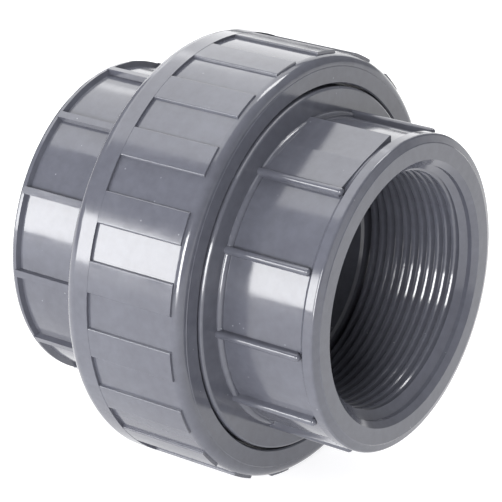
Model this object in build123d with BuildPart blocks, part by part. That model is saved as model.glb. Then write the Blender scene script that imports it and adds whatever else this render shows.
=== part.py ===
from build123d import *
import os
from math import atan, cos, degrees, radians, sin

os.makedirs("parts", exist_ok=True)

# A 2 inch threaded pipe union in grey rigid plastic.  It comes apart into the
# union body (rear), its O-ring, the end connector (front) and the big union
# nut that pulls the connector's flange against the body's sealing face.
# Everything is coaxial with +X; the end connector points to +X.
# Angles are measured about +X from +Y towards +Z.

# ---------------------------------------------------------------- driving dimensions
half_len = 43.0            # the origin is half way between the two end faces

# pipe threads: 2 in taper thread, 11.5 turns per inch, 1 in 16 on diameter
pipe_pitch = 25.4 / 11.5
pipe_minor_mouth = 28.30   # crest radius of the internal thread at the mouth plane
pipe_taper = 1 / 32        # radius lost per mm of depth
pipe_groove = 1.16         # depth of the V groove
pipe_land = 0.85           # crest flat
pipe_start = 4.0           # depth where the crests begin, behind a short cone
pipe_end = 27.7            # depth where the crests end
entry_r = 30.2             # plain entry ahead of the thread
entry_chamfer_r = 31.6
socket_depth = 29.2        # depth of the shoulder below the thread
waterway_r = 25.8

# hubs
hub_r = 36.7
rib_r = 38.5
rib_w = 1.9
collar_r = 37.6
collar_len = 2.6
face_r = 35.5              # outer radius of the flat end face
rear_hub_r = 37.6
rear_rib_r = 39.0
rear_collar_r = 38.8
rear_rib_w = 1.8
rear_collar_len = 1.8
front_rib_phase = 4.6      # one rib of the end connector stands here, and every 30 degrees on
rear_rib_phase = 3.0

# coupling thread between body and nut
cp_pitch = 5.0
cp_core_r = 45.9           # male root
cp_major_r = 47.5          # male crest
cp_nut_minor_r = 46.25
cp_nut_major_r = 47.8
cp_root_w = 2.0            # width of the male groove at its root
cp_mouth_w = 3.6           # and at its mouth
cp_back = -13.6            # rear end of the male thread

# sealing joint
seal_x = 3.8               # body's front face
seal_gap = 0.1
oring_mean_r = 34.4
oring_groove_w = 4.4
oring_groove_d = 3.0
oring_w = 4.0

# end connector's flange and shoulder
flange_r = 45.9
flange_front = 10.7
shoulder_r = 43.45
shoulder_front = 16.7
fillet_r = 1.1

# union nut
nut_back = -16.5
nut_front = 16.0
face_step_r = 48.4         # the front face drops a little outside this radius
nut_hole_r = 44.05
lip_back = 10.9
relief_r = 48.4
relief_back = 4.6
nut_low_r = 50.9
nut_high_r = 51.6
nut_pad_r = 51.55          # the pads stand a hair under the rim
rear_round = 3.2           # rounding of the nut's rear and front outer corners
front_round = 2.4
rim_front = -9.4           # front edge of the rear rim
pad_front = 13.9           # front end of the raised pads
pad_half = 4.2             # half width of a pad, degrees
pad_count = 20
pad_phase = 8.0            # one pad is centred here
pad_edge = 0.32            # rounding of a pad's long edges

# the filled flat on the end connector's hub
rib_tip_x = 38.3
pad_low_deg = 91.5
pad_high_deg = 124.6
pad_mid_deg = 108.8
pad_mid_r = 37.05
pad_edge_r = 38.2
padded_rib = 3             # the rib that the pad's upper edge takes the place of

# helix paths start and stop in open space, and are cut one turn at a time
pipe_turns = 13
pipe_lead_out = 0.9
male_helix_x = -15.9
male_turns = 5
nut_helix_x = male_helix_x - cp_pitch / 2
nut_turns = 5


def at(r, deg):
    return (r * cos(radians(deg)), r * sin(radians(deg)))


def minor_at(depth):
    return pipe_minor_mouth - pipe_taper * depth


relief_wall = 29.6

# The pipe socket's wall, as (distance from the mouth plane, radius) pairs
socket_wall = [
    (0.0, entry_chamfer_r),
    (1.2, entry_r),
    (2.3, entry_r),
    (pipe_start, minor_at(pipe_start)),
    (pipe_end, minor_at(pipe_end)),
    (pipe_end, relief_wall), (socket_depth, relief_wall),
    (socket_depth, waterway_r + 0.6), (socket_depth + 0.6, waterway_r),
]


def pad_outline(mid):
    # One grip pad centred on the angle `mid`, seen along the axis: sunk corner,
    # rounded edge, outer arc, rounded edge, sunk corner.
    hi, low = nut_pad_r, nut_low_r - 0.8
    turn = degrees(pad_edge / hi)
    out = []
    for side in (-1, 1):
        wall = mid + side * (pad_half + 0.25)
        edge = mid + side * pad_half
        corner = [at(low, wall + side * 0.2), at(hi - pad_edge, edge), at(hi - 0.29 * pad_edge, edge - side * 0.29 * turn),
                  at(hi, edge - side * turn)]
        out.append(corner)
    return out[0], at(hi, mid), out[1][::-1]


def section_plane(line):
    # The plane across the start of a helix, with local x pointing outwards.
    start, along = line.wires()[0] @ 0, line.wires()[0] % 0
    return Plane(origin=start, x_dir=(0, start.Y, start.Z), z_dir=along)


# Thread grooves, as (outwards from the path, along the axis).  Each flank runs
# on a little past the wall that it cuts.
vee_w = (pipe_pitch - pipe_land) / 2
lip_w = vee_w - 0.14         # below the eased lip
pipe_vee = [(-0.7, -vee_w - 0.42), (-0.1, -vee_w - 0.40), (0.13, -lip_w), (pipe_groove, -0.05), (pipe_groove, 0.05),
            (0.13, lip_w), (-0.1, vee_w + 0.40), (-0.7, vee_w + 0.42), (-0.7, -vee_w - 0.42)]
male_depth = cp_major_r - cp_core_r
male_slope = (cp_mouth_w - cp_root_w) / 2 / male_depth
male_edge = cp_mouth_w / 2 + 0.3 * male_slope
male_section = [(0, -cp_root_w / 2), (male_depth + 0.3, -male_edge), (male_depth + 0.9, -male_edge),
                (male_depth + 0.9, male_edge), (male_depth + 0.3, male_edge), (0, cp_root_w / 2),
                (0, -cp_root_w / 2)]
nut_depth = cp_nut_major_r - cp_nut_minor_r
nut_mouth = 1.625
nut_edge = nut_mouth + 0.15
nut_section = [(-0.8, -nut_edge), (-0.3, -nut_edge), (nut_depth, -nut_mouth + nut_depth / 2),
               (nut_depth, nut_mouth - nut_depth / 2), (-0.3, nut_edge), (-0.8, nut_edge), (-0.8, -nut_edge)]

# ---------------------------------------------------------------- union body (rear)
with BuildPart() as union_body:
    with BuildSketch(Plane.XY) as half_section:
        with BuildLine():
            Polyline(
                (-half_len, rear_collar_r - 1.9),
                (-half_len + 0.5, rear_collar_r - 0.3),
                (-half_len + 1.1, rear_collar_r),
                (-half_len + rear_collar_len, rear_collar_r),
                (-half_len + rear_collar_len + 0.5, rear_hub_r),
                (cp_back - 4.0, rear_hub_r),
                (cp_back - 1.5, rear_hub_r + 1.5),
                (cp_back - 1.5, cp_core_r - 0.8),
                (cp_back, cp_core_r - 0.8),
                (cp_back, cp_core_r - 0.3),
                (cp_back + 1.8, cp_major_r),
                (seal_x - 2.4, cp_major_r),
                (seal_x - 0.6, cp_core_r - 0.4),
                (seal_x, cp_core_r - 1.0),
                # O-ring groove in the sealing face
                (seal_x, oring_mean_r + oring_groove_w / 2),
                (seal_x - oring_groove_d, oring_mean_r + oring_groove_w / 2),
                (seal_x - oring_groove_d, oring_mean_r - oring_groove_w / 2),
                (seal_x, oring_mean_r - oring_groove_w / 2),
                # waterway and pipe socket
                (seal_x, waterway_r + 1.0),
                (seal_x - 1.0, waterway_r),
                *[(-half_len + d, r) for d, r in reversed(socket_wall)],
                close=True,
            )
        make_face()
    revolve(axis=Axis.X)
    # rear pipe thread
    for turn in range(pipe_turns):
        x0 = -half_len - pipe_lead_out + turn * pipe_pitch
        with BuildLine() as rear_helix:
            Helix(pipe_pitch, pipe_pitch, minor_at(x0 + half_len), center=(x0, 0, 0),
                  direction=(1, 0, 0), cone_angle=-degrees(atan(pipe_taper)))
        with BuildSketch(section_plane(rear_helix)) as rear_vee:
            with BuildLine():
                Polyline(*pipe_vee)
            make_face()
        sweep(path=rear_helix.wires()[0], is_frenet=True, mode=Mode.SUBTRACT)
    # male coupling thread
    for turn in range(male_turns):
        with BuildLine() as male_helix:
            Helix(cp_pitch, cp_pitch, cp_core_r, center=(male_helix_x + turn * cp_pitch, 0, 0),
                  direction=(1, 0, 0))
        with BuildSketch(section_plane(male_helix)) as male_groove:
            with BuildLine():
                Polyline(*male_section)
            make_face()
        sweep(path=male_helix.wires()[0], is_frenet=True, mode=Mode.SUBTRACT)
    # ribs on the hub, running out flush with the rear collar
    with BuildSketch(Plane.YZ.offset(-half_len + 1.4)) as ribs:
        with PolarLocations(0, 12, start_angle=rear_rib_phase):
            with Locations(((rear_hub_r - 1 + rear_rib_r) / 2, 0)):
                Rectangle(rear_rib_r - rear_hub_r + 1, rear_rib_w)
    extrude(amount=(cp_back - 2.0) - (-half_len + 1.4))

union_body.part.label = "union_body"
export_step(union_body.part, "parts/union_body.step")

# ---------------------------------------------------------------- O-ring
# Shown as it is when the nut is tight, with its front and back flattened.
with BuildPart() as o_ring:
    with BuildSketch(Plane.XY) as ring_section:
        with Locations((seal_x - oring_groove_d / 2 + 0.05, oring_mean_r)):
            RectangleRounded(oring_groove_d - 0.02, oring_w, 1.3)
    revolve(axis=Axis.X)

o_ring.part.label = "o_ring"
export_step(o_ring.part, "parts/o_ring.step")

# ---------------------------------------------------------------- end connector (front)
with BuildPart() as end_connector:
    with BuildSketch(Plane.XY) as half_section:
        with BuildLine():
            Polyline(
                (seal_x + seal_gap, waterway_r + 1.0),
                (seal_x + seal_gap, flange_r - 0.5),
                (seal_x + seal_gap + 0.5, flange_r),
                (flange_front - 0.4, flange_r),
                (flange_front, flange_r - 0.4),
                (flange_front, shoulder_r),
                (shoulder_front - 0.5, shoulder_r),
                (shoulder_front - 0.15, shoulder_r - 0.15),
                (shoulder_front, shoulder_r - 0.5),
                (shoulder_front, hub_r + fillet_r),
            )
            RadiusArc((shoulder_front, hub_r + fillet_r), (shoulder_front + fillet_r, hub_r), fillet_r)
            Polyline(
                (shoulder_front + fillet_r, hub_r),
                (half_len - 0.6 - collar_len - 1.0, hub_r),
                (half_len - 0.6 - collar_len, collar_r),
                (half_len - 1.25, collar_r),
            )
            ThreePointArc((half_len - 1.25, collar_r), (half_len - 0.78, collar_r - 0.17), (half_len - 0.55, collar_r - 0.6))
            Polyline(
                (half_len - 0.55, collar_r - 0.6),
                (half_len - 0.15, face_r + 0.15),
                (half_len, face_r - 0.05),
                *[(half_len - d, r) for d, r in socket_wall],
                (seal_x + seal_gap + 1.0, waterway_r),
                (seal_x + seal_gap, waterway_r + 1.0),
            )
        make_face()
    revolve(axis=Axis.X)
    # front pipe thread
    for turn in range(pipe_turns):
        x0 = half_len + pipe_lead_out - (turn + 1) * pipe_pitch
        with BuildLine() as front_helix:
            Helix(pipe_pitch, pipe_pitch, minor_at(half_len - x0), center=(x0, 0, 0),
                  direction=(1, 0, 0), cone_angle=degrees(atan(pipe_taper)))
        with BuildSketch(section_plane(front_helix)) as front_vee:
            with BuildLine():
                Polyline(*pipe_vee)
            make_face()
        sweep(path=front_helix.wires()[0], is_frenet=True, mode=Mode.SUBTRACT)
    # hub ribs with ball ends
    rib_angles = [front_rib_phase + 30 * k for k in range(12) if k != padded_rib]
    with BuildSketch(Plane.YZ.offset(shoulder_front - 1.0)) as ribs:
        for angle in rib_angles:
            with PolarLocations(0, 1, start_angle=angle):
                with Locations(((hub_r - 1 + rib_r - rib_w / 2) / 2, 0)):
                    Rectangle(rib_r - rib_w / 2 - hub_r + 1, rib_w)
                with Locations((rib_r - rib_w / 2, 0)):
                    Circle(rib_w / 2)
    extrude(amount=rib_tip_x - (shoulder_front - 1.0))
    for angle in rib_angles:
        with Locations(Plane.YZ.offset(rib_tip_x)):
            with PolarLocations(rib_r - rib_w / 2, 1, start_angle=angle):
                Sphere(rib_w / 2)
    # the wide flat pad that fills the space between two neighbouring ribs
    with BuildSketch(Plane.YZ.offset(shoulder_front - 1.0)) as pad:
        with BuildLine():
            Polyline(
                at(hub_r - 2, pad_low_deg), at(pad_edge_r - 0.35, pad_low_deg), at(pad_edge_r, pad_low_deg + 0.55),
                at(pad_mid_r, pad_mid_deg), at(pad_edge_r - 0.2, pad_high_deg), at(hub_r - 2, pad_high_deg), at(hub_r - 4, pad_mid_deg),
                close=True,
            )
        make_face()
    extrude(amount=rib_tip_x - (shoulder_front - 1.0))

end_connector.part.label = "end_connector"
export_step(end_connector.part, "parts/end_connector.step")

# ---------------------------------------------------------------- union nut
with BuildPart() as union_nut:
    with BuildSketch(Plane.XY) as half_section:
        with BuildLine():
            Line((nut_back, cp_nut_major_r + 0.5), (nut_back, nut_high_r - rear_round))
            ThreePointArc((nut_back, nut_high_r - rear_round),
                          (nut_back + 0.3 * rear_round, nut_high_r - 0.3 * rear_round),
                          (nut_back + rear_round, nut_high_r))
            Polyline(
                (nut_back + rear_round, nut_high_r), (rim_front, nut_high_r),
                (rim_front, nut_low_r), (nut_front - front_round, nut_low_r),
            )
            ThreePointArc((nut_front - front_round, nut_low_r),
                          (nut_front - 0.3 * front_round, nut_low_r - 0.3 * front_round),
                          (nut_front, nut_low_r - front_round))
            Polyline(
                (nut_front, nut_low_r - front_round), (nut_front, face_step_r - 0.15),
                (nut_front + 0.12, face_step_r - 0.3), (nut_front + 0.12, nut_hole_r + 0.3),
                (nut_front - 0.2, nut_hole_r), (lip_back, nut_hole_r),
                (lip_back, relief_r), (relief_back, relief_r), (relief_back - 0.8, cp_nut_minor_r),
                (nut_back + 1.9, cp_nut_minor_r), (nut_back, cp_nut_major_r + 0.5),
            )
        make_face()
    revolve(axis=Axis.X)
    # female coupling thread
    for turn in range(nut_turns):
        with BuildLine() as nut_helix:
            Helix(cp_pitch, cp_pitch, cp_nut_minor_r, center=(nut_helix_x + turn * cp_pitch, 0, 0),
                  direction=(1, 0, 0))
        with BuildSketch(section_plane(nut_helix)) as nut_groove:
            with BuildLine():
                Polyline(*nut_section)
            make_face()
        sweep(path=nut_helix.wires()[0], is_frenet=True, mode=Mode.SUBTRACT)
    # grip pads
    with BuildSketch(Plane.YZ.offset(rim_front)) as pads:
        for k in range(pad_count):
            near, top, far = pad_outline(pad_phase + k * 360 / pad_count)
            with BuildLine():
                Line(near[0], near[1])
                ThreePointArc(near[1], near[2], near[3])
                ThreePointArc(near[3], top, far[0])
                ThreePointArc(far[0], far[1], far[2])
                Line(far[2], far[3])
                Line(far[3], near[0])
            make_face()
    extrude(amount=pad_front - rim_front)

union_nut.part.label = "union_nut"
export_step(union_nut.part, "parts/union_nut.step")

for piece in (union_body, o_ring, end_connector, union_nut):
    print(piece.part.label, piece.part.is_valid, len(piece.part.solids()), round(piece.part.volume))
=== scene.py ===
import bpy, math
from mathutils import Matrix, Vector


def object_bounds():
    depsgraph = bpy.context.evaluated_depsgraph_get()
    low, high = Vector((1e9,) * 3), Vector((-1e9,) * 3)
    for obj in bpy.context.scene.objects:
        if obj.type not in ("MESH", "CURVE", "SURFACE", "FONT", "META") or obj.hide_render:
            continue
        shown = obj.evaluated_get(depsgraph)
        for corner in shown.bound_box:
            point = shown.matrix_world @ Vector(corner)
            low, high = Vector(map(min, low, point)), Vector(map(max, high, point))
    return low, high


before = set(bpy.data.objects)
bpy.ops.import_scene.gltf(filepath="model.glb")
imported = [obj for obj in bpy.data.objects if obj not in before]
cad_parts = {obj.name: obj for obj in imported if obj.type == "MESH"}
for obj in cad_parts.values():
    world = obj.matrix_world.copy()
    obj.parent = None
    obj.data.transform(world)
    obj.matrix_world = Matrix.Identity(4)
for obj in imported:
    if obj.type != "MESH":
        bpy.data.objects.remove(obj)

low0, high0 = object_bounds()

# ------------------------------------------------------------------ materials


def nodes_of(name):
    m = bpy.data.materials.new(name)
    m.use_nodes = True
    nt = m.node_tree
    nt.nodes.clear()
    out = nt.nodes.new("ShaderNodeOutputMaterial")
    bsdf = nt.nodes.new("ShaderNodeBsdfPrincipled")
    nt.links.new(bsdf.outputs["BSDF"], out.inputs["Surface"])
    return m, nt, bsdf


def node(nt, kind, **inputs):
    n = nt.nodes.new(kind)
    for k, v in inputs.items():
        n.inputs[k.replace("_", " ")].default_value = v
    return n


def ramp(nt, fac, stops):
    r = nt.nodes.new("ShaderNodeValToRGB")
    el = r.color_ramp.elements
    el[0].position, el[0].color = stops[0][0], stops[0][1]
    el[1].position, el[1].color = stops[-1][0], stops[-1][1]
    for pos, col in stops[1:-1]:
        e = el.new(pos)
        e.color = col
    nt.links.new(fac, r.inputs["Fac"])
    return r.outputs["Color"]


def rigid_plastic(name, offset, tint=1.0):
    # Glossy moulded rigid plastic: a dark blue-grey with cloudy flow marks, tiny
    # pale specks, faint rubbed streaks and a slightly wavy moulded skin.
    m, nt, b = nodes_of(name)
    L = nt.links.new
    co = nt.nodes.new("ShaderNodeTexCoord")
    mp = nt.nodes.new("ShaderNodeMapping")
    mp.inputs["Location"].default_value = offset
    L(co.outputs["Object"], mp.inputs["Vector"])
    P = mp.outputs["Vector"]

    def c(r, g, bl):
        return (r * tint, g * tint, bl * tint, 1)

    def multiply(a, bb, fac=1.0):
        mul = nt.nodes.new("ShaderNodeMix")
        mul.data_type = "RGBA"
        mul.blend_type = "MULTIPLY"
        mul.inputs["Factor"].default_value = fac
        L(a, mul.inputs["A"])
        L(bb, mul.inputs["B"])
        return mul.outputs["Result"]

    # broad cloudy variation of the colour, and a finer mottling
    cloud = node(nt, "ShaderNodeTexNoise", Scale=38.0, Detail=3.0, Roughness=0.55)
    L(P, cloud.inputs["Vector"])
    base = ramp(nt, cloud.outputs["Fac"], [(0.30, c(0.064, 0.066, 0.082)), (0.70, c(0.077, 0.080, 0.098))])
    mottle = node(nt, "ShaderNodeTexNoise", Scale=420.0, Detail=3.0, Roughness=0.6)
    L(P, mottle.inputs["Vector"])
    base = multiply(base, ramp(nt, mottle.outputs["Fac"], [(0.32, (0.93, 0.93, 0.93, 1)), (0.68, (1.06, 1.06, 1.06, 1))]))
    # tiny pale specks of dust: dots in a few of the cells
    dots = nt.nodes.new("ShaderNodeTexVoronoi")
    dots.feature = "F1"
    dots.inputs["Scale"].default_value = 330.0
    L(P, dots.inputs["Vector"])
    near = nt.nodes.new("ShaderNodeMath")
    near.operation = "LESS_THAN"
    near.inputs[1].default_value = 0.055
    L(dots.outputs["Distance"], near.inputs[0])
    some = nt.nodes.new("ShaderNodeMath")
    some.operation = "GREATER_THAN"
    some.inputs[1].default_value = 0.62
    L(dots.outputs["Color"], some.inputs[0])
    both = nt.nodes.new("ShaderNodeMath")
    both.operation = "MULTIPLY"
    L(near.outputs[0], both.inputs[0])
    L(some.outputs[0], both.inputs[1])
    dust = nt.nodes.new("ShaderNodeMix")
    dust.data_type = "RGBA"
    L(both.outputs[0], dust.inputs["Factor"])
    L(base, dust.inputs["A"])
    dust.inputs["B"].default_value = (0.17, 0.175, 0.195, 1)
    L(dust.outputs["Result"], b.inputs["Base Color"])
    # roughness: glossy with duller clouds and rubbed streaks
    dull = node(nt, "ShaderNodeTexNoise", Scale=90.0, Detail=4.0, Roughness=0.6)
    L(P, dull.inputs["Vector"])
    stretch = nt.nodes.new("ShaderNodeMapping")
    stretch.inputs["Scale"].default_value = (1.0, 5.0, 5.0)
    L(P, stretch.inputs["Vector"])
    rub = node(nt, "ShaderNodeTexNoise", Scale=260.0, Detail=3.0, Roughness=0.5)
    L(stretch.outputs["Vector"], rub.inputs["Vector"])
    avg = nt.nodes.new("ShaderNodeMix")
    avg.data_type = "FLOAT"
    avg.inputs["Factor"].default_value = 0.35
    L(dull.outputs["Fac"], avg.inputs["A"])
    L(rub.outputs["Fac"], avg.inputs["B"])
    mr = nt.nodes.new("ShaderNodeMapRange")
    mr.inputs["From Min"].default_value = 0.3
    mr.inputs["From Max"].default_value = 0.7
    mr.inputs["To Min"].default_value = 0.07
    mr.inputs["To Max"].default_value = 0.19
    L(avg.outputs["Result"], mr.inputs["Value"])
    L(mr.outputs["Result"], b.inputs["Roughness"])
    # bump: slow waviness of the moulded skin and a very fine peel
    wave = node(nt, "ShaderNodeTexNoise", Scale=48.0, Detail=2.0, Roughness=0.45)
    L(P, wave.inputs["Vector"])
    b1 = nt.nodes.new("ShaderNodeBump")
    b1.inputs["Strength"].default_value = 0.30
    b1.inputs["Distance"].default_value = 0.0006
    L(wave.outputs["Fac"], b1.inputs["Height"])
    peel = node(nt, "ShaderNodeTexNoise", Scale=700.0, Detail=2.0, Roughness=0.5)
    L(P, peel.inputs["Vector"])
    b2 = nt.nodes.new("ShaderNodeBump")
    b2.inputs["Strength"].default_value = 0.12
    b2.inputs["Distance"].default_value = 0.00004
    L(peel.outputs["Fac"], b2.inputs["Height"])
    L(b1.outputs["Normal"], b2.inputs["Normal"])
    L(b2.outputs["Normal"], b.inputs["Normal"])
    b.inputs["IOR"].default_value = 1.54
    return m


def seal_rubber(name):
    m, nt, b = nodes_of(name)
    L = nt.links.new
    co = nt.nodes.new("ShaderNodeTexCoord")
    n1 = node(nt, "ShaderNodeTexNoise", Scale=400.0, Detail=4.0, Roughness=0.6)
    L(co.outputs["Object"], n1.inputs["Vector"])
    L(ramp(nt, n1.outputs["Fac"], [(0.3, (0.012, 0.012, 0.013, 1)), (0.7, (0.028, 0.028, 0.030, 1))]), b.inputs["Base Color"])
    mr = nt.nodes.new("ShaderNodeMapRange")
    mr.inputs["To Min"].default_value = 0.38
    mr.inputs["To Max"].default_value = 0.62
    L(n1.outputs["Fac"], mr.inputs["Value"])
    L(mr.outputs["Result"], b.inputs["Roughness"])
    bp = nt.nodes.new("ShaderNodeBump")
    bp.inputs["Strength"].default_value = 0.25
    bp.inputs["Distance"].default_value = 0.0001
    L(n1.outputs["Fac"], bp.inputs["Height"])
    L(bp.outputs["Normal"], b.inputs["Normal"])
    return m


def paint(name, mat):
    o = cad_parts[name]
    o.data.materials.clear()
    o.data.materials.append(mat)
    return o


paint("union_body", rigid_plastic("body_plastic", (0.3, 0.1, 0.7)))
paint("end_connector", rigid_plastic("connector_plastic", (1.9, 0.4, 0.2)))
paint("union_nut", rigid_plastic("nut_plastic", (0.8, 2.3, 1.1)))
paint("o_ring", seal_rubber("seal_rubber"))

# ------------------------------------------------------------------ floor, light, camera


def floor():
    me = bpy.data.meshes.new("floor")
    s = 4.0
    z = low0[2] - 0.0005
    me.from_pydata([(-s, -s, z), (s, -s, z), (s, s, z), (-s, s, z)], [], [(0, 1, 2, 3)])
    o = bpy.data.objects.new("floor", me)
    bpy.context.scene.collection.objects.link(o)
    m, nt, b = nodes_of("floor_white")
    b.inputs["Base Color"].default_value = (0.45, 0.45, 0.45, 1)
    b.inputs["Roughness"].default_value = 0.9
    # a light table: the pale sheet glows softly, which keeps the shadow faint
    b.inputs["Emission Color"].default_value = (0.985, 0.985, 1.0, 1)
    b.inputs["Emission Strength"].default_value = 0.76
    me.materials.append(m)


floor()

world = bpy.data.worlds.new("studio")
bpy.context.scene.world = world
world.use_nodes = True
bg = world.node_tree.nodes["Background"]
bg.inputs["Color"].default_value = (1.0, 1.0, 1.0, 1)
bg.inputs["Strength"].default_value = 0.30


def softbox(name, loc, aim, size, radiance, color=(1, 1, 1)):
    # a rectangular panel of the given brightness, facing the point `aim`
    d = bpy.data.lights.new(name, "AREA")
    d.shape = "RECTANGLE"
    d.size, d.size_y = size
    d.energy = radiance * math.pi * size[0] * size[1]
    d.color = color
    o = bpy.data.objects.new(name, d)
    bpy.context.scene.collection.objects.link(o)
    o.location = loc
    o.rotation_euler = (Vector(aim) - Vector(loc)).to_track_quat("-Z", "Y").to_euler()
    return o


softbox("key left", (-0.49, -0.75, 0.152), (0, 0, 0.03), (0.50, 0.34), 12.5)
softbox("overhead", (-0.55, 0.22, 0.95), (-0.55, 0.22, 0.0), (1.5, 1.36), 2.6)
softbox("back left", (-0.65, 1.05, 0.56), (0, 0, 0.1), (1.5, 0.86), 2.2)
softbox("high streak", (0.27, 0.42, 0.95), (0.02, 0, 0.0), (0.26, 0.40), 14.0)
softbox("front right", (0.36, -0.94, 0.20), (0, 0, 0.03), (0.34, 0.50), 25.0)

cam = bpy.data.cameras.new("camera")
cam.sensor_width = 36.0
cam.lens = 182.4
cam.clip_start = 0.01
cam.clip_end = 20.0
camera = bpy.data.objects.new("camera", cam)
bpy.context.scene.collection.objects.link(camera)
right = Vector((0.8111, 0.5850, 0.0))
up = Vector((-0.2219, 0.3076, 0.9253))
back = Vector((0.5413, -0.7505, 0.3793))
M = Matrix((right, up, back)).transposed().to_4x4()
M.translation = Vector((0.3266, -0.4543, 0.2299))
camera.matrix_world = M
bpy.context.scene.camera = camera
bpy.context.scene.view_settings.view_transform = "Standard"
